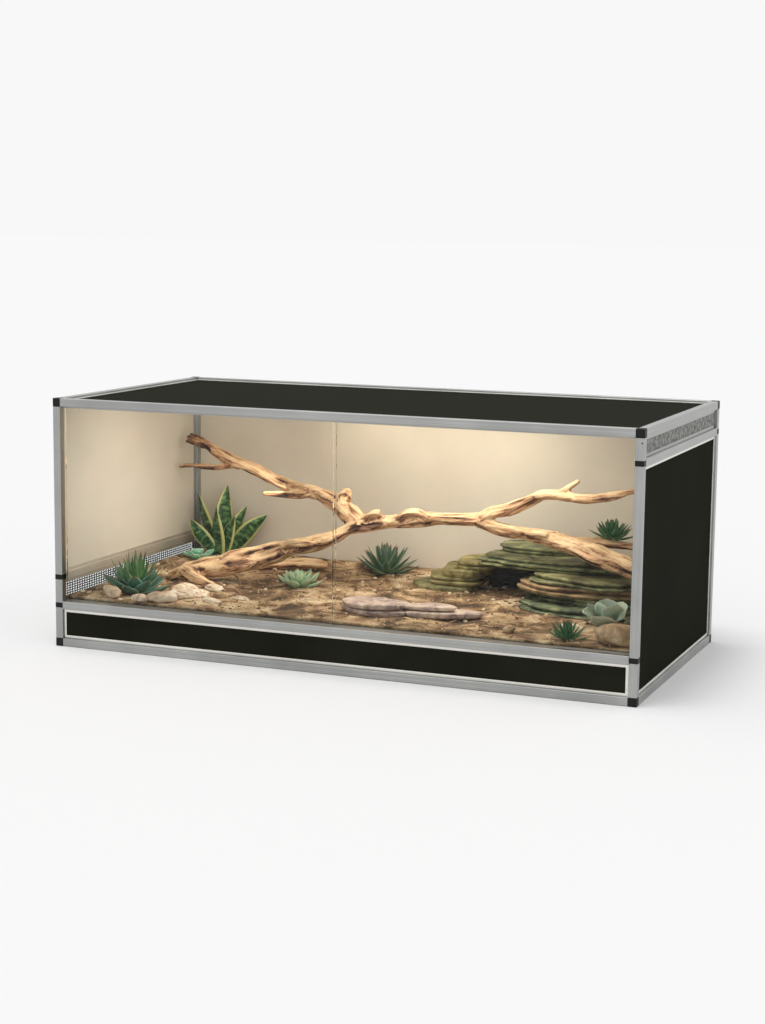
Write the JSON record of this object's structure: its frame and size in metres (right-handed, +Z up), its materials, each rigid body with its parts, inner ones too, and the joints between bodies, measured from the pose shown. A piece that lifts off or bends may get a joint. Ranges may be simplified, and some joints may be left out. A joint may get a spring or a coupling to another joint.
{
  "type": "reptile terrarium",
  "caption": "Wide reptile enclosure of square aluminium tube with dark boards, sliding glass doors, side vents and a furnished floor of sand, driftwood, slate and succulents.",
  "frame": {"origin": "middle of the footprint, on the ground", "axes": "+X to the right along the width, +Y to the rear, +Z up; the glass doors face -Y"},
  "size_m": [1.2, 0.6, 0.5],
  "materials": {
    "frame_aluminium": "satin anodised",
    "connector_plastic": "moulded, slightly glossy",
    "rivet": "black head",
    "dark_board": "matt dark olive board",
    "pale_liner": "satin warm cream",
    "vent_mesh": "woven wire",
    "track_aluminium": "satin anodised",
    "glide_plastic": "smooth",
    "door_glass": "clear float glass",
    "base_filling": "coarse dark filling",
    "sand": "dry grains with chips",
    "driftwood": "weathered, fibrous",
    "slate": "riven, mossy",
    "river_stone": "worn smooth",
    "snake_leaf": "leaf, pale margins",
    "agave_leaf": "waxy leaf",
    "rosette_leaf": "powdery leaf",
    "succulent_leaf": "waxy leaf"
  },
  "bodies": {
    "enclosure": {"base_rail_front": "frame_aluminium", "base_rail_rear": "frame_aluminium", "base_rail_left": "frame_aluminium", "base_rail_right": "frame_aluminium", "top_rail_front": "frame_aluminium", "top_rail_rear": "frame_aluminium", "top_rail_left": "frame_aluminium", "top_rail_right": "frame_aluminium", "kick_rail": "frame_aluminium", "left_sill_rail": "frame_aluminium", "left_vent_rail": "frame_aluminium", "right_vent_rail": "frame_aluminium", "front_left_post": "frame_aluminium", "front_right_post": "frame_aluminium", "rear_left_post": "frame_aluminium", "rear_right_post": "frame_aluminium", "base_corner_connectors": "connector_plastic", "top_corner_connectors": "connector_plastic", "front_tee_connectors": "connector_plastic", "rear_tee_connectors": "connector_plastic", "post_rivet": "rivet", "floor_panel": "dark_board", "kick_panel": "dark_board", "left_base_panel": "dark_board", "left_panel": "dark_board", "right_panel": "dark_board", "rear_panel": "dark_board", "top_panel": "dark_board", "left_liner": "pale_liner", "right_liner": "pale_liner", "rear_liner": "pale_liner", "ceiling_liner": "pale_liner", "left_vent_mesh": "vent_mesh", "right_vent_mesh": "vent_mesh", "upper_door_track": "track_aluminium", "lower_door_track": "track_aluminium", "door_glide_strips": "glide_plastic", "substrate_base": "base_filling", "substrate_top": "sand", "driftwood_branch": "driftwood", "driftwood_root": "driftwood", "hide_left_stack": "slate", "hide_right_stack": "slate", "hide_roof": "slate", "hide_cap_slates": "slate", "basking_stones": "river_stone", "loose_stones": "river_stone", "snake_plant": "snake_leaf", "front_agave": "agave_leaf", "spiky_agave": "agave_leaf", "teal_rosette": "rosette_leaf", "small_rosette": "rosette_leaf", "echeveria": "rosette_leaf", "corner_succulent": "succulent_leaf", "perch_succulent": "succulent_leaf"},
    "left_door": {"left_glass_door": "door_glass"},
    "right_door": {"right_glass_door": "door_glass"}
  },
  "joints": [
    {"name": "left_door_slide", "type": "slide", "parent": "enclosure", "child": "left_door", "axis": [1, 0, 0], "range_m": [0, 0.577]},
    {"name": "right_door_slide", "type": "slide", "parent": "enclosure", "child": "right_door", "axis": [1, 0, 0], "range_m": [-0.577, 0]}
  ]
}
